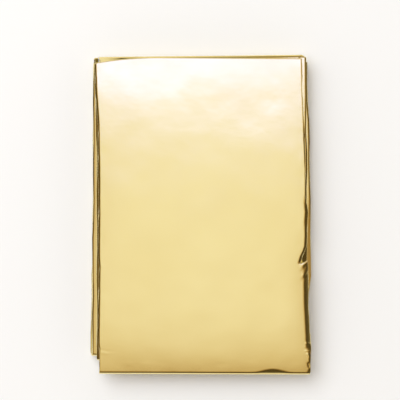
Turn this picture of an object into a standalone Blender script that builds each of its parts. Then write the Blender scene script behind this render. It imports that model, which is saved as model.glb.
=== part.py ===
"""Emergency foil blanket, folded to a flat packet that lies on its underside.

The film is folded lengthwise to a narrow strip, and the strip is folded back and forth along
the packet. The solid is that back-and-forth section: one sheet of eight panels a little apart,
joined by round folds at the packet's ends. X runs across the packet, Y along it and Z up, with
the origin under its middle. The tables are in millimetres, and the mesh is in metres.
"""

import math
from collections import namedtuple

import bmesh
import bpy

MM = 0.001

# Each panel stands for two turns of the strip
PANEL_THICKNESS = 1.05
HALF_WIDTH = 46.4
HALF_LENGTH = 67.2

# How far the packet's face is puffed up at its middle, and how uneven it is
CROWN = 0.9
RIPPLE_HEIGHT = 0.12
RIPPLE_ACROSS = 71.0
RIPPLE_ALONG = 88.0

# How far the loose corner of the cover panel is turned in, along Y and across X
CORNER_DROP = 2.6
CORNER_SPAN = 0.32

COLUMNS = 8
FOLD_STEPS = 8
EDGE_STEPS = 4

FOIL_COLOUR = (0.76, 0.55, 0.19, 1.0)

# Where the sides of each bundle of panels run, on cuts across the packet
Section = namedtuple("Section", "y cover_left cover_right middle_left middle_right lower_left lower_right")
SECTIONS = (
    Section(64.6, -43.9, 42.0, -45.0, 44.4, -45.4, 44.7),
    Section(52.0, -43.5, 42.3, -44.6, 44.3, -45.6, 44.9),
    Section(39.5, -42.6, 42.8, -44.2, 44.4, -45.7, 45.6),
    Section(18.6, -42.2, 43.7, -43.9, 44.6, -45.6, 46.0),
    Section(-3.1, -42.2, 43.7, -43.9, 44.6, -45.8, 46.2),
    Section(-14.8, -42.3, 43.5, -43.9, 44.6, -46.0, 46.4),
    Section(-19.9, -42.3, 41.6, -43.9, 44.5, -46.0, 46.4),
    Section(-25.3, -42.4, 44.9, -43.9, 44.4, -46.1, 46.3),
    Section(-35.7, -42.5, 45.1, -43.9, 44.3, -46.1, 45.2),
    Section(-50.0, -42.7, 45.8, -43.9, 44.2, -46.3, 45.0),
    Section(-59.2, -42.8, 46.0, -43.9, 44.1, -46.4, 44.9),
    Section(-67.2, -42.8, 45.8, -43.9, 44.0, -46.4, 44.9),
)

# The panels from the underside up, with how far each is drawn in from its bundle's sides
Panel = namedtuple("Panel", "bundle inset_left inset_right")
PANELS = (
    Panel("lower", 0.6, 0.9),
    Panel("lower", 0.2, 0.5),
    Panel("lower", 0.5, 0.2),
    Panel("lower", 0.0, 0.0),
    Panel("middle", 0.3, 0.4),
    Panel("middle", 0.0, 0.0),
    Panel("cover", 0.4, 0.5),
    Panel("cover", 0.0, 0.0),
)

# Where the strip turns, from the underside up: how far out on the left and on the right, and
# the air between the two panels that the turn joins. The ends of the strip come first and last.
Turn = namedtuple("Turn", "y_left y_right gap")
TURNS = (
    Turn(63.6, 63.9, 0.0),
    Turn(-58.5, -58.7, 0.4),
    Turn(64.6, 64.4, 0.5),
    Turn(-59.0, -59.2, 0.4),
    Turn(64.9, 65.1, 0.7),
    Turn(-60.6, -60.8, 0.4),
    Turn(66.3, 67.2, 0.7),
    Turn(-66.9, -67.2, 0.5),
    Turn(66.0, 65.4, 0.0),
)


def mix(start, end, share):
    return start + (end - start) * share


def panel_heights():
    """The height of each panel's middle layer, from the underside up."""
    heights = [PANEL_THICKNESS / 2]
    for turn in TURNS[1:-1]:
        heights.append(heights[-1] + PANEL_THICKNESS + turn.gap)
    return heights


HEIGHTS = panel_heights()


def side_at(column, y):
    """One column of the sections, read at y along straight lines between the cuts."""
    rows = [(row.y, getattr(row, column)) for row in SECTIONS]
    if y >= rows[0][0]:
        return rows[0][1]
    for (high, first), (low, second) in zip(rows, rows[1:]):
        if y >= low:
            return mix(second, first, (y - low) / (high - low))
    return rows[-1][1]


def panel_sides(index, y):
    panel = PANELS[index]
    left = side_at(panel.bundle + "_left", y) + panel.inset_left
    right = side_at(panel.bundle + "_right", y) - panel.inset_right
    return left, right


def lift(x, y, height):
    """How far the packet's puffed, uneven face raises a panel: nothing at the underside, all at the top."""
    across = max(0.0, 1 - (x / HALF_WIDTH) ** 2)
    along = max(0.0, 1 - (y / HALF_LENGTH) ** 2)
    ripple = math.sin(2 * math.pi * x / RIPPLE_ACROSS + 0.6) * math.sin(2 * math.pi * y / RIPPLE_ALONG)
    share = (height - HEIGHTS[0]) / (HEIGHTS[-1] - HEIGHTS[0])
    return (CROWN * across * along + RIPPLE_HEIGHT * ripple * along) * share


def turn_reach(number, across):
    """How far along Y a turn or a strip end goes, at a place across the packet from 0 to 1."""
    turn = TURNS[number]
    reach = mix(turn.y_left, turn.y_right, across)
    if number == len(TURNS) - 1 and across < CORNER_SPAN:
        reach -= CORNER_DROP * (1 - across / CORNER_SPAN) ** 2
    return reach


def run_end(number, across):
    """Where the level run of a panel ends, along Y, at a turn or at an end of the strip."""
    reach = turn_reach(number, across)
    if number in (0, len(TURNS) - 1):
        return reach
    below = HEIGHTS[number - 1]
    above = HEIGHTS[number]
    outer_radius = (above - below) / 2 + PANEL_THICKNESS / 2
    return reach - math.copysign(outer_radius, reach)


def panel_shares(index):
    """The places along one panel, from 0 to 1, where it is cut: at its ends and at each section between."""
    start = run_end(index, 0.5)
    end = run_end(index + 1, 0.5)
    inner = [(row.y - start) / (end - start) for row in SECTIONS]
    inner = sorted(share for share in inner if 0.02 < share < 0.98)
    return [0.0] + inner + [1.0]


def panel_station(index, share):
    """One cut across a panel, as a function of the place across the packet."""

    def place(across):
        start = run_end(index, across)
        end = run_end(index + 1, across)
        y = mix(start, end, share)
        left, right = panel_sides(index, y)
        x = mix(left, right, across)
        z = HEIGHTS[index] + lift(x, y, HEIGHTS[index])
        normal_z = 1.0 if end > start else -1.0
        return x, y, z, 0.0, normal_z

    return place


def turn_station(number, step):
    """One cut across the round turn between two panels, as a function of the place across the packet."""

    def place(across):
        below = number - 1
        y = run_end(number, across)
        outward = math.copysign(1.0, y)
        lower_left, lower_right = panel_sides(below, y)
        upper_left, upper_right = panel_sides(number, y)
        share = step / FOLD_STEPS
        x = mix(mix(lower_left, upper_left, share), mix(lower_right, upper_right, share), across)
        low = HEIGHTS[below] + lift(x, y, HEIGHTS[below])
        high = HEIGHTS[number] + lift(x, y, HEIGHTS[number])
        angle = math.pi * (share - 0.5)
        radius = (high - low) / 2
        y_round = y + outward * radius * math.cos(angle)
        z_round = (high + low) / 2 + radius * math.sin(angle)
        return x, y_round, z_round, -math.cos(angle), -outward * math.sin(angle)

    return place


def strip_stations():
    """Every cut across the strip, in order from its lower end to its upper end."""
    stations = []
    for index in range(len(PANELS)):
        shares = panel_shares(index)
        stations += [panel_station(index, share) for share in shares]
        if index + 1 < len(PANELS):
            stations += [turn_station(index + 1, step) for step in range(1, FOLD_STEPS)]
    return stations


def cut_outline(place):
    """The closed outline of the sheet on one cut: one face, a round side, the other face, a round side."""
    half = PANEL_THICKNESS / 2
    left_x = place(0.0)[0]
    right_x = place(1.0)[0]
    inset = half / (right_x - left_x)
    outline = []
    for side in (1, -1):
        for column in range(COLUMNS + 1):
            share = column / COLUMNS
            across = mix(inset, 1 - inset, share if side > 0 else 1 - share)
            x, y, z, normal_y, normal_z = place(across)
            outline.append((x, y + side * half * normal_y, z + side * half * normal_z))
        edge = 1 - inset if side > 0 else inset
        x, y, z, normal_y, normal_z = place(edge)
        for step in range(1, EDGE_STEPS):
            angle = math.pi * step / EDGE_STEPS
            out = half * math.sin(angle) * side
            off = half * math.cos(angle) * side
            outline.append((x + out, y + off * normal_y, z + off * normal_z))
    return outline


def folded_strip():
    """The whole folded sheet as one closed mesh."""
    mesh = bmesh.new()
    rings = []
    for place in strip_stations():
        points = [tuple(value * MM for value in point) for point in cut_outline(place)]
        rings.append([mesh.verts.new(point) for point in points])
    count = len(rings[0])
    for ring, following in zip(rings, rings[1:]):
        for start in range(count):
            end = (start + 1) % count
            mesh.faces.new((ring[start], ring[end], following[end], following[start]))
    for ring in (rings[0], rings[-1]):
        close_end(mesh, ring)
    bmesh.ops.recalc_face_normals(mesh, faces=mesh.faces)
    return mesh


def close_end(mesh, ring):
    """Fills an end of the strip, where its two faces meet across the sheet's thickness."""
    other_face = COLUMNS + EDGE_STEPS
    last = other_face + COLUMNS
    for column in range(COLUMNS):
        across_from = last - column
        mesh.faces.new((ring[column], ring[column + 1], ring[across_from - 1], ring[across_from]))
    mesh.faces.new(ring[COLUMNS : other_face + 1])
    mesh.faces.new(ring[last:] + ring[:1])


def foil_material():
    material = bpy.data.materials.new("gold_metallised_film")
    material.use_nodes = True
    shader = material.node_tree.nodes["Principled BSDF"]
    shader.inputs["Base Color"].default_value = FOIL_COLOUR
    shader.inputs["Metallic"].default_value = 1.0
    shader.inputs["Roughness"].default_value = 0.22
    return material


def clear_scene():
    for item in list(bpy.data.objects):
        bpy.data.objects.remove(item, do_unlink=True)


def make_blanket():
    solid = folded_strip()
    data = bpy.data.meshes.new("foil_blanket")
    solid.to_mesh(data)
    solid.free()
    data.materials.append(foil_material())
    blanket = bpy.data.objects.new("foil_blanket", data)
    bpy.context.scene.collection.objects.link(blanket)
    data.shade_smooth()
    data.set_sharp_from_angle(angle=math.radians(40))
    return blanket


clear_scene()
make_blanket()
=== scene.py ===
"""Looks of the folded emergency foil blanket: gold film folded over the packet's panels."""

import math
import random
from collections import namedtuple

import bpy
import numpy as np
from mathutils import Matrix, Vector


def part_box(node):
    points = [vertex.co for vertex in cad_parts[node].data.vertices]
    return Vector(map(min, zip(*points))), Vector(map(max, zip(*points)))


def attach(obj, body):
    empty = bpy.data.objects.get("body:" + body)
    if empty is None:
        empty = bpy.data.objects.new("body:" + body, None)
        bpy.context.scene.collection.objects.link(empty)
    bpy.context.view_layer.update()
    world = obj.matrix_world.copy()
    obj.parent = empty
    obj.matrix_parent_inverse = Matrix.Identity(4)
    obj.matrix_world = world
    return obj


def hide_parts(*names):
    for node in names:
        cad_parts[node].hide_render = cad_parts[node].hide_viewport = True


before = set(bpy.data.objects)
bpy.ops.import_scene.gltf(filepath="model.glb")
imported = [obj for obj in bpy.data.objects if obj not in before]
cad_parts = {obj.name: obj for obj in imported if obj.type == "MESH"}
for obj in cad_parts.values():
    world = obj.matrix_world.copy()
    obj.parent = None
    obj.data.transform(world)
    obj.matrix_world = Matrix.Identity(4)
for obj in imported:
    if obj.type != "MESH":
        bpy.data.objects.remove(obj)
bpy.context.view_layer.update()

MM = 0.001
NODE = "foil_blanket"

# The sizes of the blanket, down to the materials, are in millimetres

# The packet's panels, as in the solid, and how far its face is puffed up at its middle
PANEL_THICKNESS = 1.05
HALF_WIDTH = 46.4
HALF_LENGTH = 67.2
CROWN = 0.9

# The share of the puff that is missing at the packet's sides, and how late it starts to go
CROWN_SIDE_DROP = 0.3
CROWN_POWER = 6

# The folded film inside each panel: three leaves of doubled film, how far apart they lie, how far each
# film lies from the middle of its leaf, and how wide the folded strip is drawn before it is fitted
LEAF_PITCH = 0.34
HALF_DOUBLE = 0.06
FILM_THICKNESS = 0.02
STRIP_WIDTH = 87.0

# Where the sides of each bundle of panels run, on cuts across the packet. The film's pinch on the
# right, near y -20, is sharper than the solid's, so it has one row more.
Section = namedtuple("Section", "y cover_left cover_right middle_left middle_right lower_left lower_right")
SECTIONS = (
    Section(64.6, -43.9, 42.0, -45.0, 44.4, -45.4, 44.7),
    Section(52.0, -43.5, 42.3, -44.6, 44.3, -45.6, 44.9),
    Section(39.5, -42.6, 42.8, -44.2, 44.4, -45.7, 45.6),
    Section(18.6, -42.2, 43.7, -43.9, 44.6, -45.6, 46.0),
    Section(-3.1, -42.2, 43.7, -43.9, 44.6, -45.8, 46.2),
    Section(-14.8, -42.3, 43.5, -43.9, 44.6, -46.0, 46.4),
    Section(-20.5, -42.3, 41.5, -43.9, 44.5, -46.0, 46.4),
    Section(-21.2, -42.3, 44.4, -43.9, 44.5, -46.0, 46.4),
    Section(-25.3, -42.4, 44.9, -43.9, 44.4, -46.1, 46.3),
    Section(-35.7, -42.5, 45.1, -43.9, 44.3, -46.1, 45.2),
    Section(-50.0, -42.7, 45.8, -43.9, 44.2, -46.3, 45.0),
    Section(-59.2, -42.8, 46.0, -43.9, 44.1, -46.4, 44.9),
    Section(-67.2, -42.8, 45.8, -43.9, 44.0, -46.4, 44.9),
)

# The panels from the underside up, with how far each is drawn in from its bundle's sides
Panel = namedtuple("Panel", "bundle inset_left inset_right")
PANELS = (
    Panel("lower", 0.6, 0.9),
    Panel("lower", 0.2, 0.5),
    Panel("lower", 0.5, 0.2),
    Panel("lower", 0.0, 0.0),
    Panel("middle", 0.3, 0.4),
    Panel("middle", 0.0, 0.0),
    Panel("cover", 0.4, 0.5),
    Panel("cover", 0.0, 0.0),
)
COVER = len(PANELS) - 1

# How much further out than the solid's side the film of some panels reaches, along a stretch of Y,
# or further in where the number is below nothing
Shift = namedtuple("Shift", "first last side y_high y_low out")
SHIFTS = (
    Shift(6, 7, "left", 75.0, -20.0, 0.85),
    Shift(6, 7, "left", -20.0, -56.0, 0.6),
    Shift(6, 7, "right", 75.0, 4.0, 0.25),
    Shift(6, 7, "right", 4.0, -14.5, 0.9),
    Shift(0, 2, "left", -25.0, -75.0, 0.6),
    Shift(3, 3, "left", -30.0, -75.0, -0.3),
)
SHIFT_BLEND = 5.0

# Where the strip turns, from the underside up: how far out on the left and on the right, and the air
# between the two panels that the turn joins. The ends of the strip come first and last. Below the
# cover, the turns at its lower end reach a little further out than the solid's.
Turn = namedtuple("Turn", "y_left y_right gap")
TURNS = (
    Turn(63.6, 63.9, 0.0),
    Turn(-59.1, -59.3, 0.4),
    Turn(64.6, 64.4, 0.5),
    Turn(-59.7, -59.9, 0.4),
    Turn(64.9, 65.1, 0.7),
    Turn(-61.4, -61.6, 0.4),
    Turn(66.3, 67.2, 0.7),
    Turn(-66.9, -67.2, 0.5),
    Turn(66.0, 65.4, 0.0),
)

# How a turn is pressed, from a half circle at one to a square corner at nothing: squarer where it
# shows past the cover's loose edge
TURN_STEPS = 10
TURN_SQUARENESS = 0.5
UPPER_TURN_SQUARENESS = 0.36

# The loose corner of the cover, turned in along Y over a share of the width and a length of the side
CORNER_DROP = 2.6
CORNER_SPAN = 0.32
CORNER_LENGTH = 14.0

# How far apart the film's points lie inside the packet and on its face
COARSE_ALONG = 8.0
COARSE_ACROSS = 13.0
FACE_STEP = 2.0

# Along the cover they lie close together at both ends, at the pinch and at the creased band
FINE_STEP = 0.4
END_STRETCH = 4.0
PINCH_STRETCH = (-28.0, -17.0)
BAND_STRETCH = (-60.5, -52.5)

# Across the face they lie closer and closer towards its sides, down to the rim, so that the shading of
# a fold stays at the fold. Round the dent the film behind the face has more of them, to stay behind it.
RIM_STEP = 0.06
EDGE_STEP = 0.24
EDGE_STRETCH = 1.2
SIDE_STEP = 0.5
SIDE_STRETCH_LEFT = 3.6
SIDE_STRETCH_RIGHT = 5.6
DENT_STEP = 1.0
DENT_STRETCH = 22.5
BACKING_STEP = 2.8

# The lowest leaf is on top where the strip runs back, so its fold has a rim of its own
LEAF_RIM = 0.4

# How far the film's cut edges and its inner fold stay in from the packet's sides
CUT_INSETS = (1.3, 1.7)
FOLD_INSET = 0.5

# How far the cover's lower leaves stay in from its top leaf's sides
COVER_TUCK = 0.3

# How round a pressed fold of the leaves is, from flat at nothing to a half circle at one, and how many
# steps it and the doubled film's own fold are drawn in
FOLD_ROUNDNESS = 0.4
FOLD_STEPS = 5
TIP_STEPS = 4

# The slow crinkles of the whole film: how high, how far apart, and the seed of their pattern
CRINKLE_HEIGHT = 0.25
CRINKLE_SIZE = 26.0
CRINKLE_SEED = 3.0


def mix(start, end, share):
    return start + (end - start) * share


def smooth(share):
    share = np.clip(share, 0.0, 1.0)
    return share * share * (3 - 2 * share)


def linear(code):
    """An sRGB hex colour as linear red, green and blue."""
    values = [int(code[place : place + 2], 16) / 255 for place in (1, 3, 5)]
    return [v / 12.92 if v <= 0.04045 else ((v + 0.055) / 1.055) ** 2.4 for v in values]


def add_node(tree, kind, inputs=None, **settings):
    """Adds a node, sets its properties, and links or sets its inputs by name or number."""
    node = tree.nodes.new(kind)
    for name, value in settings.items():
        setattr(node, name, value)
    for key, value in (inputs or {}).items():
        if isinstance(value, bpy.types.NodeSocket):
            tree.links.new(value, node.inputs[key])
        else:
            node.inputs[key].default_value = value
    return node


def stretch_share(row, y, blend):
    """One inside a row's stretch along Y, nothing outside it, and a smooth step between."""
    return smooth((row.y_high - y) / blend + 0.5) * smooth((y - row.y_low) / blend + 0.5)


# The strip's path through the packet


def panel_heights():
    """The height of each panel's middle, from the underside up."""
    heights = [PANEL_THICKNESS / 2]
    for turn in TURNS[1:-1]:
        heights.append(heights[-1] + PANEL_THICKNESS + turn.gap)
    return heights


HEIGHTS = panel_heights()


def side_at(column, y):
    """One column of the sections at y, which may be an array."""
    rows = sorted((row.y, getattr(row, column)) for row in SECTIONS)
    return np.interp(y, [row[0] for row in rows], [row[1] for row in rows])


def panel_sides(index, y):
    """Where the film of one panel starts and ends across the packet, at y."""
    panel = PANELS[index]
    left = side_at(panel.bundle + "_left", y) + panel.inset_left
    right = side_at(panel.bundle + "_right", y) - panel.inset_right
    for shift in SHIFTS:
        if shift.first <= index <= shift.last:
            out = shift.out * stretch_share(shift, y, SHIFT_BLEND)
            left -= out if shift.side == "left" else 0.0
            right += out if shift.side == "right" else 0.0
    return left, right


def run_end(number):
    """Where a panel's level run ends at a turn, half-way across, and how much that place leans."""
    turn = TURNS[number]
    reach = (turn.y_left + turn.y_right) / 2
    lean = turn.y_right - turn.y_left
    if number in (0, len(TURNS) - 1):
        return reach, lean
    outer = (HEIGHTS[number] - HEIGHTS[number - 1] + PANEL_THICKNESS) / 2
    return reach - math.copysign(outer, reach), lean


def places_along(index, start, end):
    """The places along a panel's run where the film has points: close together on the cover."""
    low, high = sorted((start, end))
    if index == COVER:
        marks = [low, *BAND_STRETCH, *PINCH_STRETCH, high - END_STRETCH, high]
        steps = [FINE_STEP, FINE_STEP, FACE_STEP, FINE_STEP, FACE_STEP, FINE_STEP]
    elif index == COVER - 1:
        marks = [low, *(row.y for row in SECTIONS[::-1] if low < row.y < high - END_STRETCH)]
        marks += [high - END_STRETCH, high]
        steps = [COARSE_ALONG] * (len(marks) - 2) + [FINE_STEP]
    else:
        marks = [low, high]
        steps = [COARSE_ALONG]
    places = [low]
    for first, last, step in zip(marks, marks[1:], steps):
        count = max(1, round((last - first) / step))
        places += [mix(first, last, number / count) for number in range(1, count + 1)]
    return places if start < end else places[::-1]


PathPoint = namedtuple("PathPoint", "y z left right lean panel")


def strip_path():
    """The strip's middle line from its lower end to its upper end, with the packet's sides at each point."""
    points = []
    for index in range(len(PANELS)):
        start, start_lean = run_end(index)
        end, end_lean = run_end(index + 1)
        for y in places_along(index, start, end):
            share = (y - start) / (end - start)
            left, right = panel_sides(index, y)
            points.append(PathPoint(y, HEIGHTS[index], left, right, mix(start_lean, end_lean, share), index))
        if index == COVER:
            break
        middle = (HEIGHTS[index] + HEIGHTS[index + 1]) / 2
        radius = (HEIGHTS[index + 1] - HEIGHTS[index]) / 2
        outward = math.copysign(1.0, end)
        square = UPPER_TURN_SQUARENESS if index + 1 == COVER - 1 else TURN_SQUARENESS
        below = panel_sides(index, end)
        above = panel_sides(index + 1, end)
        for step in range(1, TURN_STEPS):
            share = step / TURN_STEPS
            angle = math.pi * (share - 0.5)
            left = mix(below[0], above[0], share)
            right = mix(below[1], above[1], share)
            y = end + outward * radius * math.cos(angle) ** square
            z = middle + radius * math.copysign(abs(math.sin(angle)) ** square, angle)
            points.append(PathPoint(y, z, left, right, end_lean, index + share))
    return points


Stretch = namedtuple("Stretch", "kind leaf first last height outward")


def leaf_path():
    """One cut across the strip: the doubled film folded to three leaves, as stretches of its middle line."""
    fold = LEAF_PITCH / 2 + HALF_DOUBLE
    far = STRIP_WIDTH - fold - FOLD_INSET
    return (
        Stretch("run", 0, CUT_INSETS[0], far, -LEAF_PITCH, 1.0),
        Stretch("turn", 0, far, far, -LEAF_PITCH / 2, 1.0),
        Stretch("run", 1, far, fold, 0.0, -1.0),
        Stretch("turn", 1, fold, fold, LEAF_PITCH / 2, -1.0),
        Stretch("run", 2, fold, STRIP_WIDTH - HALF_DOUBLE, LEAF_PITCH, 1.0),
    )


def spaced(first, last, steps):
    """Places from first to last, where steps holds the end and the spacing of each stretch in turn."""
    places = [first]
    start = first
    for end, step in steps:
        count = max(1, round(abs(end - start) / step))
        places += [mix(start, end, number / count) for number in range(1, count + 1)]
        start = end
    return places


def steps_across(leaf, face, first, last):
    """How far apart the film's points lie on one face of one leaf, stretch by stretch."""
    if leaf == 0:
        return [(last - LEAF_RIM, COARSE_ACROSS), (last, LEAF_RIM)]
    if leaf == 1:
        return [(last, COARSE_ACROSS)]
    if face == -1:
        return [(last - DENT_STRETCH, COARSE_ACROSS), (last, BACKING_STEP)]
    return [
        (first + RIM_STEP, RIM_STEP),
        (first + EDGE_STRETCH, EDGE_STEP),
        (first + SIDE_STRETCH_LEFT, SIDE_STEP),
        (last - DENT_STRETCH, FACE_STEP),
        (last - SIDE_STRETCH_RIGHT, DENT_STEP),
        (last - EDGE_STRETCH, SIDE_STEP),
        (last - RIM_STEP, EDGE_STEP),
        (last, RIM_STEP),
    ]


def film_points():
    """The film's path on one cut: out along the first face of the doubled film and back along the second."""
    faces = []
    for face in (1, -1):
        points = []
        for kind, leaf, first, last, height, outward in leaf_path():
            offset = HALF_DOUBLE * face * outward
            if kind == "turn":
                radius = LEAF_PITCH / 2 - offset
                for step in range(1, FOLD_STEPS):
                    angle = math.pi * (step / FOLD_STEPS - 0.5)
                    reach = outward * radius * FOLD_ROUNDNESS * math.cos(angle)
                    points.append((first + reach, height + radius * math.sin(angle)))
                continue
            if leaf == 0 and face == -1:
                first = CUT_INSETS[1]
            places = spaced(first, last, steps_across(leaf, face, first, last))
            points += [(x, height + offset) for x in places]
        faces.append(points)
    out, back = faces
    tip_x = out[-1][0]
    tip = []
    for step in range(1, TIP_STEPS):
        angle = math.pi * (0.5 - step / TIP_STEPS)
        tip.append((tip_x + HALF_DOUBLE * math.cos(angle), LEAF_PITCH + HALF_DOUBLE * math.sin(angle)))
    return out + tip + back[::-1]


def lengths_along(points):
    """How far along a line each of its points lies."""
    steps = np.linalg.norm(np.diff(np.array(points), axis=0), axis=1)
    return np.concatenate([[0.0], np.cumsum(steps)])


# The flat film and its folding


def line_mesh(name, points, sides=None):
    """A line through the points, for the node tree to follow, which may carry the packet's sides."""
    mesh = bpy.data.meshes.new(name)
    edges = [(start, start + 1) for start in range(len(points) - 1)]
    mesh.from_pydata([tuple(value * MM for value in point) for point in points], edges, [])
    if sides:
        attribute = mesh.attributes.new("sides", "FLOAT_VECTOR", "POINT")
        attribute.data.foreach_set("vector", np.array(sides, np.float32).ravel() * MM)
    line = bpy.data.objects.new(name, mesh)
    bpy.context.scene.collection.objects.link(line)
    return line


def flat_film(name, across, along):
    """The film before it is folded: a flat grid with its cut size as a UV map, in metres."""
    u, v = np.meshgrid(np.array(across) * MM, np.array(along) * MM)
    count_u = len(across)
    count_v = len(along)
    places = np.stack([u, v, np.zeros_like(u)], axis=-1).reshape(-1, 3)
    number = np.arange(count_u * count_v).reshape(count_v, count_u)
    faces = np.stack([number[:-1, :-1], number[:-1, 1:], number[1:, 1:], number[1:, :-1]], axis=-1)
    mesh = bpy.data.meshes.new(name)
    mesh.from_pydata(places.tolist(), [], faces.reshape(-1, 4).tolist())
    uv = mesh.uv_layers.new(name="flat_film")
    corner = np.empty(len(mesh.loops), np.int32)
    mesh.loops.foreach_get("vertex_index", corner)
    uv.uv.foreach_set("vector", places[corner][:, :2].astype(np.float32).ravel())
    flat = mesh.attributes.new("flat_place", "FLOAT_VECTOR", "POINT")
    flat.data.foreach_set("vector", places.astype(np.float32).ravel())
    film = bpy.data.objects.new(name, mesh)
    bpy.context.scene.collection.objects.link(film)
    return film


def folding_tree():
    """Folds a flat film: across itself along one path, and then lengthwise along the other."""
    tree = bpy.data.node_groups.new("fold_film", "GeometryNodeTree")
    sockets = tree.interface
    sockets.new_socket("Geometry", in_out="INPUT", socket_type="NodeSocketGeometry")
    for name, kind in (
        ("Leaf Path", "NodeSocketObject"),
        ("Strip Path", "NodeSocketObject"),
        ("Strip Width", "NodeSocketFloat"),
        ("Crinkle Height", "NodeSocketFloat"),
        ("Crinkle Size", "NodeSocketFloat"),
        ("Crinkle Seed", "NodeSocketFloat"),
        ("Material", "NodeSocketMaterial"),
    ):
        sockets.new_socket(name, in_out="INPUT", socket_type=kind)
    sockets.new_socket("Geometry", in_out="OUTPUT", socket_type="NodeSocketGeometry")
    given = add_node(tree, "NodeGroupInput").outputs
    place = add_node(tree, "GeometryNodeInputPosition").outputs["Position"]
    flat = add_node(tree, "ShaderNodeSeparateXYZ", {0: place}).outputs

    leaf_line = add_node(tree, "GeometryNodeObjectInfo", {"Object": given["Leaf Path"]})
    leaf_curve = add_node(tree, "GeometryNodeMeshToCurve", {"Mesh": leaf_line.outputs["Geometry"]})
    leaf = add_node(
        tree,
        "GeometryNodeSampleCurve",
        {"Curves": leaf_curve.outputs["Curve"], "Length": flat["X"]},
        mode="LENGTH",
    )
    leaf_place = add_node(tree, "ShaderNodeSeparateXYZ", {0: leaf.outputs["Position"]}).outputs
    across = add_node(
        tree, "ShaderNodeMath", {0: leaf_place["X"], 1: given["Strip Width"]}, operation="DIVIDE"
    ).outputs[0]

    strip_line = add_node(tree, "GeometryNodeObjectInfo", {"Object": given["Strip Path"]})
    strip_curve = add_node(tree, "GeometryNodeMeshToCurve", {"Mesh": strip_line.outputs["Geometry"]})
    sides = add_node(
        tree, "GeometryNodeInputNamedAttribute", {"Name": "sides"}, data_type="FLOAT_VECTOR"
    )
    strip = add_node(
        tree,
        "GeometryNodeSampleCurve",
        {
            "Curves": strip_curve.outputs["Curve"],
            "Value": sides.outputs["Attribute"],
            "Length": flat["Y"],
        },
        mode="LENGTH",
        data_type="FLOAT_VECTOR",
    )
    side = add_node(tree, "ShaderNodeSeparateXYZ", {0: strip.outputs["Value"]}).outputs
    x = add_node(
        tree,
        "ShaderNodeMapRange",
        {"Value": across, "To Min": side["X"], "To Max": side["Y"]},
        clamp=False,
    ).outputs["Result"]
    half = add_node(tree, "ShaderNodeMath", {0: across, 1: 0.5}, operation="SUBTRACT").outputs[0]
    lean = add_node(tree, "ShaderNodeMath", {0: half, 1: side["Z"]}, operation="MULTIPLY").outputs[0]
    shift = add_node(tree, "ShaderNodeCombineXYZ", {"X": x, "Y": lean}).outputs[0]
    up = add_node(
        tree,
        "ShaderNodeVectorMath",
        {0: (1.0, 0.0, 0.0), 1: strip.outputs["Tangent"]},
        operation="CROSS_PRODUCT",
    ).outputs[0]
    offset = add_node(
        tree, "ShaderNodeVectorMath", {0: up, "Scale": leaf_place["Z"]}, operation="SCALE"
    ).outputs[0]
    moved = add_node(
        tree, "ShaderNodeVectorMath", {0: strip.outputs["Position"], 1: shift}, operation="ADD"
    ).outputs[0]
    folded = add_node(tree, "ShaderNodeVectorMath", {0: moved, 1: offset}, operation="ADD").outputs[0]

    scale = add_node(tree, "ShaderNodeMath", {0: 1.0, 1: given["Crinkle Size"]}, operation="DIVIDE")
    noise = add_node(
        tree,
        "ShaderNodeTexNoise",
        {
            "Vector": folded,
            "W": given["Crinkle Seed"],
            "Scale": scale.outputs[0],
            "Detail": 2.0,
            "Roughness": 0.55,
        },
        noise_dimensions="4D",
    )
    swing = add_node(
        tree, "ShaderNodeMath", {0: noise.outputs[0], 1: 0.5}, operation="SUBTRACT"
    ).outputs[0]
    rise = add_node(
        tree, "ShaderNodeMath", {0: swing, 1: given["Crinkle Height"]}, operation="MULTIPLY"
    ).outputs[0]
    crinkle = add_node(tree, "ShaderNodeCombineXYZ", {"Z": rise}).outputs[0]
    film = add_node(
        tree,
        "GeometryNodeSetPosition",
        {"Geometry": given["Geometry"], "Position": folded, "Offset": crinkle},
    )
    real = add_node(tree, "GeometryNodeRealizeInstances", {"Geometry": film.outputs[0]})
    dressed = add_node(
        tree, "GeometryNodeSetMaterial", {"Geometry": real.outputs[0], "Material": given["Material"]}
    )
    add_node(tree, "NodeGroupOutput", {"Geometry": dressed.outputs[0]})
    return tree


def run_tree(source, tree, values):
    """Runs a node tree on an object with the given inputs and returns the result as a plain mesh."""
    modifier = source.modifiers.new("fold", "NODES")
    modifier.node_group = tree
    for item in tree.interface.items_tree:
        if item.in_out == "INPUT" and item.name in values:
            modifier[item.identifier] = values[item.name]
    bpy.context.view_layer.update()
    graph = bpy.context.evaluated_depsgraph_get()
    mesh = bpy.data.meshes.new_from_object(source.evaluated_get(graph), depsgraph=graph)
    source.modifiers.remove(modifier)
    return mesh


# Rolls and creases

# A crease runs from one place to the other on one panel; height is up for a ridge, down for a trough
Crease = namedtuple("Crease", "panel x y to_x to_y height width")
CREASES = (
    Crease(7, 42.2, -21.8, 44.9, -21.8, 0.07, 0.38),
    Crease(7, 42.3, -23.6, 43.4, -23.0, -0.05, 0.5),
    Crease(7, 42.9, -25.2, 44.4, -24.2, 0.06, 0.45),
    Crease(7, 42.5, -27.0, 43.6, -25.8, -0.05, 0.5),
    Crease(7, 44.1, -53.6, 46.3, -54.3, 0.17, 0.34),
    Crease(7, 44.1, -56.9, 46.2, -56.6, 0.13, 0.32),
    Crease(7, 44.7, -58.0, 45.4, -59.8, 0.12, 0.4),
    Crease(7, 45.0, -62.2, 45.2, -63.6, -0.1, 0.35),
    Crease(7, 45.1, -65.6, 45.3, -66.4, -0.08, 0.3),
    Crease(7, 43.3, -2.3, 44.2, -3.4, -0.12, 0.4),
    Crease(5, 43.2, 19.6, 44.4, 20.0, 0.12, 0.35),
    Crease(3, 44.6, 20.0, 46.0, 20.3, 0.12, 0.35),
)

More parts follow.
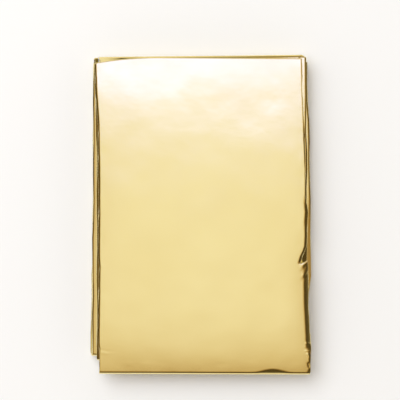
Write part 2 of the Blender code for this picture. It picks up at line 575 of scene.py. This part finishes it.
# Small creases where the film was pressed together at the cover's sides and lower end: where they
# start, how far they reach in, and how slanted, high and wide they are
EDGE_CREASES = 40
EDGE_CREASE_SEED = 11
SIDE_CREASES_Y = (-60.0, 58.0)
END_CREASES_X = (-38.0, 40.0)
END_CREASES_Y = -66.5
CREASE_REACH = (1.2, 4.5)
CREASE_SLANT = (-1.2, 1.2)
CREASE_HEIGHT = (0.01, 0.03)
CREASE_WIDTH = (0.35, 0.7)

# How unevenly the leaves' folds line up along the packet's sides: waves that shift from panel to panel
# and from leaf to leaf, and fade out over a stretch in from the side
Wave = namedtuple("Wave", "length size shift")
SIDE_WAVES = (
    Wave(31.0, 0.16, 1.7),
    Wave(11.3, 0.09, 4.1),
    Wave(4.7, 0.04, 7.3),
)
LEAF_SHIFT = 2.2
WAVE_FADE = 5.0

# The pinch: how far its lip is pulled up along Y, over which stretch of X and how far up and down from
# its place, and how far the panel below is drawn away from it
PINCH_RISE = 2.3
PINCH_X = (41.2, 44.6)
PINCH_Y = -21.2
PINCH_SPREAD = 3.0
BELOW_PINCH_X = (38.0, 41.0)
BELOW_PINCH_DROP = 0.9

# Where a panel's side rolls down: over which panels and which stretch along Y, how wide the roll
# is, how far it drops, and how it steepens. It goes on a little where a wave stands past the side.
Roll = namedtuple("Roll", "first last side y_high y_low width drop power")
ROLLS = (
    Roll(7, 7, "left", 75.0, -57.0, 0.95, 0.23, 1.1),
    Roll(7, 7, "left", -57.0, -75.0, 0.5, 0.15, 1.2),
    Roll(4, 5, "left", 75.0, -75.0, 2.2, 0.36, 1.1),
    Roll(0, 3, "left", 75.0, -75.0, 0.6, 0.15, 1.2),
    Roll(0, 3, "left", 75.0, -75.0, 2.1, 0.16, 1.1),
    Roll(7, 7, "right", 75.0, 36.0, 0.5, 0.06, 1.1),
    Roll(7, 7, "right", 36.0, 5.0, 0.5, 0.13, 1.1),
    Roll(7, 7, "right", 5.0, -20.0, 1.2, 0.3, 1.1),
    Roll(6, 7, "right", -23.0, -56.0, 2.1, 0.5, 1.3),
    Roll(7, 7, "right", -58.0, -75.0, 0.9, 0.12, 1.2),
    Roll(4, 5, "right", 75.0, 4.0, 0.8, 0.15, 1.2),
    Roll(4, 5, "right", 4.0, -75.0, 2.8, 0.75, 1.1),
    Roll(0, 3, "right", 75.0, 6.0, 0.8, 0.15, 1.2),
    Roll(0, 3, "right", 6.0, -75.0, 2.8, 0.37, 1.05),
)
ROLL_BLEND = 5.0
ROLL_LIMIT = 1.2

# The slow shoulder on the cover's right, below the middle
SHOULDER = Roll(6, 7, "right", -15.0, -90.0, 13.0, 0.28, 2.4)
SHOULDER_SIDE = 45.0
SHOULDER_BLEND = 30.0

# The cover's lower end: the width, drop and power of its long slow roll, and the share of the roll
# that each panel takes
END_ROLL = (26.0, 0.6, 3.2)
END_PANELS = (4, 5, 6, 7)
END_SHARES = (0.0, 0.15, 0.72, 1.0)

# The short steep roll at the very end, which fades towards the right, and the dent that widens it
STEEP_WIDTH = 1.0
STEEP_DROP = 0.3
STEEP_POWER = 1.4
STEEP_FADE = 0.6
DENT_X = 30.0
DENT_REACH = 8.4
DENT_WIDTH = 2.6
DENT_DROP = 0.56

# The turned end that shows past the cover's loose edge: the width, drop and power of its slope, the
# share that each panel takes, and how much steeper or flatter it is from left to right
UPPER_ROLL = (3.9, 0.58, 1.15)
UPPER_PANELS = (4, 5, 6, 6.5)
UPPER_SHARES = (0.0, 0.5, 1.0, 0.0)
UPPER_STEEPNESS_X = (15.0, 34.0)
UPPER_STEEPNESS = (1.2, 0.15)


def edge_creases():
    """Small creases where the film was pressed together at the cover's sides and lower end."""
    pick = random.Random(EDGE_CREASE_SEED)
    creases = []
    for _ in range(EDGE_CREASES):
        side = pick.choice(("left", "right", "right", "end"))
        reach = pick.uniform(*CREASE_REACH)
        slant = pick.uniform(*CREASE_SLANT)
        height = pick.choice((-1, 1)) * pick.uniform(*CREASE_HEIGHT)
        width = pick.uniform(*CREASE_WIDTH)
        if side == "end":
            x = pick.uniform(*END_CREASES_X)
            y = END_CREASES_Y
            creases.append(Crease(COVER, x, y, x + slant, y + reach, height, width))
            continue
        y = pick.uniform(*SIDE_CREASES_Y)
        edge = float(side_at("cover_" + side, y))
        inward = 1.0 if side == "left" else -1.0
        creases.append(Crease(COVER, edge, y, edge + inward * reach, y + slant, height, width))
    return creases


def crease_height(x, y, crease):
    """How high one crease stands at each place, fading out past its ends and to its sides."""
    run = np.array([crease.to_x - crease.x, crease.to_y - crease.y])
    length = float(np.linalg.norm(run))
    share = ((x - crease.x) * run[0] + (y - crease.y) * run[1]) / length**2
    nearest = np.clip(share, 0.0, 1.0)
    off_x = x - crease.x - nearest * run[0]
    off_y = y - crease.y - nearest * run[1]
    return crease.height * np.exp(-(off_x**2 + off_y**2) / crease.width**2)


def side_waves(y, height, panel):
    """How far the leaves' folds are from lining up along the packet's sides."""
    total = 0.0
    for wave in SIDE_WAVES:
        turned = 2 * math.pi * y / wave.length + wave.shift * panel + LEAF_SHIFT * wave.shift * height
        total = total + wave.size * np.sin(turned)
    return total


def roll_side(roll, x, y, panel, left, right, blend=ROLL_BLEND):
    """How far one side of some panels is rolled down, along one stretch of the packet."""
    part = np.clip(1 - np.maximum(roll.first - panel, panel - roll.last), 0, 1)
    gap = (right - x) if roll.side == "right" else (x - left)
    curl = np.clip(1 - gap / roll.width, 0, ROLL_LIMIT) ** roll.power
    return roll.drop * curl * part * stretch_share(roll, y, blend)


def roll_end(x, y, panel):
    """How far the cover's lower end is rolled down: slowly, then steeply, with a dent in it."""
    part = np.interp(panel, END_PANELS, END_SHARES)
    gap = y - (TURNS[COVER].y_right + TURNS[COVER].y_left) / 2
    width, drop, power = END_ROLL
    slow = drop * np.clip(1 - gap / width, 0, 1) ** power
    dent = smooth(1 - np.abs(x - DENT_X) / DENT_REACH)
    fading = smooth((x - DENT_X - DENT_REACH / 2) / DENT_REACH)
    steep_drop = STEEP_DROP * (1 - STEEP_FADE * fading)
    steep = np.clip(1 - gap / mix(STEEP_WIDTH, DENT_WIDTH, dent), 0, 1) ** STEEP_POWER
    return part * (slow + mix(steep_drop, DENT_DROP, dent) * steep)


def roll_upper_end(x, line, panel):
    """How far the turned end below the cover's loose edge slopes down to its fold, less so at the right."""
    width, drop, power = UPPER_ROLL
    gap = (TURNS[COVER - 1].y_right + TURNS[COVER - 1].y_left) / 2 - line
    drop = drop * np.interp(x, UPPER_STEEPNESS_X, UPPER_STEEPNESS)
    return drop * np.clip(1 - gap / width, 0, 1) ** power * np.interp(panel, UPPER_PANELS, UPPER_SHARES)


def pinch_pull(x, line, panel, on_cover):
    """How far along Y the film is pulled at the pinch: the cover's lip up, the panel below it down."""
    lip = np.clip((x - PINCH_X[0]) / (PINCH_X[1] - PINCH_X[0]), 0, 1)
    below = np.clip(1 - np.abs(panel - (COVER - 1)), 0, 1)
    below *= np.clip((x - BELOW_PINCH_X[0]) / (BELOW_PINCH_X[1] - BELOW_PINCH_X[0]), 0, 1)
    near = np.exp(-(((line - PINCH_Y) / PINCH_SPREAD) ** 2))
    return (on_cover * PINCH_RISE * lip - below * BELOW_PINCH_DROP) * near


def read_places(source, key):
    """The vectors of a mesh's points or of an attribute, as three rows in millimetres."""
    values = np.empty(len(source) * 3, np.float32)
    source.foreach_get(key, values)
    return (values.reshape(-1, 3).astype(np.float64) / MM).T.copy()


def press_film(mesh, path, lengths, profile, profile_lengths):
    """Gives the folded film its puffed face, rolled sides, loose corner, pinch and creases."""
    x, y, z = read_places(mesh.vertices, "co")
    flat_u, flat_v = read_places(mesh.attributes["flat_place"].data, "vector")[:2]
    across = np.interp(flat_u, profile_lengths, [point[0] for point in profile]) / STRIP_WIDTH
    height = np.interp(flat_u, profile_lengths, [point[1] for point in profile])
    panel, level, line, left, right = (
        np.interp(flat_v, lengths, [getattr(point, name) for point in path])
        for name in ("panel", "z", "y", "left", "right")
    )

    # Heights are read on the strip's middle line, so that no layer passes through its neighbour
    share_up = (level - HEIGHTS[0]) / (HEIGHTS[-1] - HEIGHTS[0])
    puff_x = 1 - CROWN_SIDE_DROP * np.abs(x / HALF_WIDTH) ** CROWN_POWER
    z += CROWN * puff_x * np.clip(1 - (line / HALF_LENGTH) ** 2, 0, 1) * share_up

    near_side = np.clip(1 - np.minimum(x - left, right - x) / WAVE_FADE, 0, 1)
    x += side_waves(y, height, panel) * near_side
    under_cover = np.clip(1 - height / LEAF_PITCH, 0, 1) * np.clip(panel - (COVER - 1), 0, 1)
    x += COVER_TUCK * under_cover * near_side * np.where(x < 0, 1, -1)
    off_floor = np.clip(panel - 0.5, 0, 1)
    for roll in ROLLS:
        z -= off_floor * roll_side(roll, x, line, panel, left, right)
    z -= roll_side(SHOULDER, x, line, panel, left, SHOULDER_SIDE, SHOULDER_BLEND)
    z -= roll_end(x, line, panel)
    z -= roll_upper_end(x, line, panel)
    for crease in (*CREASES, *edge_creases()):
        part = np.clip(1 - np.abs(panel - crease.panel) / 2, 0, 1)
        z += part * crease_height(x, line, crease)

    on_cover = np.clip(panel - (COVER - 1), 0, 1)
    near_end = smooth((line - (TURNS[-1].y_left - CORNER_LENGTH)) / CORNER_LENGTH)
    y -= on_cover * near_end * CORNER_DROP * np.clip(1 - across / CORNER_SPAN, 0, 1) ** 2
    y += pinch_pull(x, line, panel, on_cover)
    places = np.stack([x, y, z], axis=1) * MM
    mesh.vertices.foreach_set("co", places.astype(np.float32).ravel())
    mesh.update()


# Materials

# The sizes of the film's patterns, over the flat film: patches of haze and of duller shine, ridges where
# it was once creased, and small waves between them. The ridges and waves are drawn coarser than the
# real film's, which are too fine to show here.
HAZE_SIZE = 45.0
DULL_SIZE = 12.0
RIDGE_SIZE = 22.0
WAVE_SIZE = 9.0
BACK_HAZE_SIZE = 20.0


def gold_film():
    """Polyester film with an aluminium coat under a gold lacquer: a bright mirror, a little hazy and wavy."""
    material = bpy.data.materials.new("gold_lacquered_metallised_film")
    material.use_nodes = True
    tree = material.node_tree
    shader = tree.nodes["Principled BSDF"]
    shader.inputs["Metallic"].default_value = 1.0
    uv = add_node(tree, "ShaderNodeUVMap", uv_map="flat_film").outputs["UV"]

    haze = add_node(
        tree, "ShaderNodeTexNoise", {"Vector": uv, "Scale": 1 / (HAZE_SIZE * MM), "Detail": 3.0}
    )
    tint = add_node(tree, "ShaderNodeValToRGB", {"Fac": haze.outputs[0]})
    ramp = tint.color_ramp.elements
    ramp[0].position = 0.3
    ramp[0].color = (*linear("#F6E3A0"), 1.0)
    ramp[1].position = 0.72
    ramp[1].color = (*linear("#FAE9AA"), 1.0)
    tree.links.new(tint.outputs["Color"], shader.inputs["Base Color"])

    dull = add_node(
        tree, "ShaderNodeTexNoise", {"Vector": uv, "Scale": 1 / (DULL_SIZE * MM), "Detail": 4.0}
    )
    rough = add_node(
        tree, "ShaderNodeMapRange", {"Value": dull.outputs[0], "To Min": 0.12, "To Max": 0.17}
    )
    tree.links.new(rough.outputs["Result"], shader.inputs["Roughness"])

    ridges = add_node(
        tree,
        "ShaderNodeTexNoise",
        {"Vector": uv, "Scale": 1 / (RIDGE_SIZE * MM), "Detail": 3.0, "Roughness": 0.55},
        noise_type="RIDGED_MULTIFRACTAL",
    )
    ridges_bump = add_node(
        tree, "ShaderNodeBump", {"Height": ridges.outputs[0], "Strength": 0.05, "Distance": 0.4 * MM}
    )
    waves = add_node(
        tree, "ShaderNodeTexNoise", {"Vector": uv, "Scale": 1 / (WAVE_SIZE * MM), "Detail": 3.0}
    )
    waves_bump = add_node(
        tree,
        "ShaderNodeBump",
        {
            "Height": waves.outputs[0],
            "Strength": 0.1,
            "Distance": 0.3 * MM,
            "Normal": ridges_bump.outputs["Normal"],
        },
    )
    tree.links.new(waves_bump.outputs["Normal"], shader.inputs["Normal"])
    return material


def silver_film():
    """The film's back: bare aluminium coat, bright and neutral, seen only at cut edges."""
    material = bpy.data.materials.new("silver_metallised_film_back")
    material.use_nodes = True
    tree = material.node_tree
    shader = tree.nodes["Principled BSDF"]
    shader.inputs["Metallic"].default_value = 1.0
    shader.inputs["Roughness"].default_value = 0.2
    uv = add_node(tree, "ShaderNodeUVMap", uv_map="flat_film").outputs["UV"]
    haze = add_node(
        tree, "ShaderNodeTexNoise", {"Vector": uv, "Scale": 1 / (BACK_HAZE_SIZE * MM), "Detail": 3.0}
    )
    tint = add_node(tree, "ShaderNodeValToRGB", {"Fac": haze.outputs[0]})
    tint.color_ramp.elements[0].color = (*linear("#DADBD9"), 1.0)
    tint.color_ramp.elements[1].color = (*linear("#EDEDEA"), 1.0)
    tree.links.new(tint.outputs["Color"], shader.inputs["Base Color"])
    return material


# The blanket


def make_blanket():
    """The folded film as one piece, and the size of the flat film in metres."""
    path = strip_path()
    lengths = lengths_along([(point.y, point.z) for point in path])
    profile = film_points()
    profile_lengths = lengths_along(profile)
    sides = [(point.left, point.right, point.lean) for point in path]
    strip_line = line_mesh("strip_path", [(0.0, point.y, point.z) for point in path], sides)
    leaf_line = line_mesh("leaf_path", [(x, 0.0, height) for x, height in profile])
    film = flat_film("flat_film", profile_lengths, lengths)
    gold = gold_film()
    mesh = run_tree(
        film,
        folding_tree(),
        {
            "Leaf Path": leaf_line,
            "Strip Path": strip_line,
            "Strip Width": STRIP_WIDTH * MM,
            "Crinkle Height": CRINKLE_HEIGHT * MM,
            "Crinkle Size": CRINKLE_SIZE * MM,
            "Crinkle Seed": CRINKLE_SEED,
            "Material": gold,
        },
    )
    for helper in (film, strip_line, leaf_line):
        bpy.data.objects.remove(helper, do_unlink=True)
    press_film(mesh, path, lengths, profile, profile_lengths)
    mesh.name = "foil_film"
    mesh.materials.clear()
    mesh.materials.append(gold)
    mesh.materials.append(silver_film())
    mesh.shade_smooth()
    blanket = bpy.data.objects.new("foil_film", mesh)
    bpy.context.scene.collection.objects.link(blanket)

    # The film's thickness goes in from its gold face, and its back takes the silver material
    wall = blanket.modifiers.new("film_thickness", "SOLIDIFY")
    wall.thickness = FILM_THICKNESS * MM
    wall.offset = -1.0
    wall.material_offset = 1
    flat_size = (profile_lengths[-1] * MM, lengths[-1] * MM)
    return blanket, flat_size


# The stage, in metres

# The camera stands straight above the packet, and its picture is 167 mm wide at the cover. Its sensor
# alone is in millimetres.
PICTURE_WIDTH = 0.1672
CAMERA_HEIGHT = 0.9
PICTURE_MIDDLE = (-0.0004, 0.0061)
SENSOR_WIDTH = 36.0

# The floor, and the soft lamp that lights it from the upper left
FLOOR_HALF = 3.0
SOFTBOX_PLACE = (-0.5, 0.5, 1.5)
SOFTBOX_SIZE = 1.5
SOFTBOX_POWER = 24.0

# The room's light by how far it stands from overhead, as the sine of that angle
Ring = namedtuple("Ring", "sine red green blue")
ROOM = (
    Ring(0.0, 0.99, 0.985, 0.96),
    Ring(0.08, 0.97, 0.955, 0.92),
    Ring(0.14, 0.87, 0.81, 0.70),
    Ring(0.23, 0.74, 0.62, 0.44),
    Ring(0.33, 0.45, 0.30, 0.12),
    Ring(0.37, 0.27, 0.16, 0.05),
    Ring(0.42, 0.08, 0.055, 0.018),
    Ring(0.66, 0.07, 0.05, 0.018),
    Ring(0.80, 0.60, 0.54, 0.42),
    Ring(0.92, 0.80, 0.76, 0.67),
    Ring(1.0, 0.95, 0.93, 0.88),
)

# Soft panels towards the packet's upper end, a bright cool one, a dim warm one and a low wide one:
# where each fades in and out along Y and to the sides, as sines, and its light
Glow = namedtuple("Glow", "start full fade stop side_fade side_stop light")
GLOWS = (
    Glow(0.066, 0.102, 0.17, 0.25, 0.09, 0.17, (0.42, 0.63, 2.5)),
    Glow(0.30, 0.42, 0.62, 0.80, 0.20, 0.50, (0.24, 0.22, 0.12)),
    Glow(0.62, 0.80, 1.20, 1.30, 0.50, 0.90, (0.16, 0.15, 0.11)),
)


def make_floor():
    """A sheet of matt white paper: plain and bright, with soft shadows and no shine."""
    half = FLOOR_HALF
    corners = [(-half, -half, 0), (half, -half, 0), (half, half, 0), (-half, half, 0)]
    mesh = bpy.data.meshes.new("floor")
    mesh.from_pydata(corners, [], [(0, 1, 2, 3)])
    floor = bpy.data.objects.new("floor", mesh)
    bpy.context.scene.collection.objects.link(floor)
    material = bpy.data.materials.new("matt_white_paper_floor")
    material.use_nodes = True
    shader = material.node_tree.nodes["Principled BSDF"]
    shader.inputs["Base Color"].default_value = (*linear("#F0F2F6"), 1.0)
    shader.inputs["Roughness"].default_value = 1.0
    shader.inputs["Specular IOR Level"].default_value = 0.1
    mesh.materials.append(material)


def make_softbox():
    """A square lamp aimed at the packet. The film mirrors the room and not the lamp."""
    data = bpy.data.lights.new("side_softbox", "AREA")
    data.shape = "SQUARE"
    data.size = SOFTBOX_SIZE
    data.energy = SOFTBOX_POWER
    lamp = bpy.data.objects.new("side_softbox", data)
    lamp.location = SOFTBOX_PLACE
    lamp.rotation_euler = (-Vector(SOFTBOX_PLACE)).to_track_quat("-Z", "Y").to_euler()
    lamp.visible_glossy = False
    bpy.context.scene.collection.objects.link(lamp)


def make_world():
    """A studio room: pale overhead and at the walls, dark between them, with three soft panels."""
    world = bpy.data.worlds.new("studio")
    world.use_nodes = True
    tree = world.node_tree
    place = add_node(tree, "ShaderNodeTexCoord").outputs["Generated"]
    toward = add_node(tree, "ShaderNodeSeparateXYZ", {0: place}).outputs
    level = add_node(tree, "ShaderNodeCombineXYZ", {"X": toward["X"], "Y": toward["Y"]}).outputs[0]
    sine = add_node(tree, "ShaderNodeVectorMath", {0: level}, operation="LENGTH").outputs["Value"]
    room = add_node(tree, "ShaderNodeValToRGB", {"Fac": sine})
    stops = room.color_ramp.elements
    stops.remove(stops[1])
    stops[0].color = (*ROOM[0][1:], 1.0)
    for ring in ROOM[1:]:
        stops.new(ring.sine).color = (*ring[1:], 1.0)
    aside = add_node(tree, "ShaderNodeMath", {0: toward["X"]}, operation="ABSOLUTE").outputs[0]
    light = room.outputs["Color"]
    for glow in GLOWS:
        share = 1.0
        for direction, start, end, first, last in (
            (toward["Y"], glow.start, glow.full, 0.0, 1.0),
            (toward["Y"], glow.fade, glow.stop, 1.0, 0.0),
            (aside, glow.side_fade, glow.side_stop, 1.0, 0.0),
        ):
            fade = add_node(
                tree,
                "ShaderNodeMapRange",
                {"Value": direction, "From Min": start, "From Max": end, "To Min": first, "To Max": last},
                interpolation_type="SMOOTHSTEP",
            )
            share = add_node(
                tree, "ShaderNodeMath", {0: fade.outputs["Result"], 1: share}, operation="MULTIPLY"
            ).outputs[0]
        panel = add_node(tree, "ShaderNodeVectorMath", {0: glow.light, "Scale": share}, operation="SCALE")
        light = add_node(
            tree, "ShaderNodeVectorMath", {0: light, 1: panel.outputs[0]}, operation="ADD"
        ).outputs[0]
    background = tree.nodes["Background"]
    tree.links.new(light, background.inputs["Color"])
    background.inputs["Strength"].default_value = 1.0
    bpy.context.scene.world = world


def make_camera():
    """Looks straight down on the packet, its picture's upper side towards +Y."""
    data = bpy.data.cameras.new("camera")
    data.sensor_width = SENSOR_WIDTH
    data.lens = SENSOR_WIDTH * CAMERA_HEIGHT / PICTURE_WIDTH
    camera = bpy.data.objects.new("camera", data)
    cover_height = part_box(NODE)[1].z
    camera.location = (*PICTURE_MIDDLE, CAMERA_HEIGHT + cover_height)
    bpy.context.scene.collection.objects.link(camera)
    bpy.context.scene.camera = camera


blanket, flat_size = make_blanket()
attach(blanket, "root")
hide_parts(NODE)

make_floor()
make_world()
make_camera()
make_softbox()
bpy.context.scene.view_settings.view_transform = "Standard"
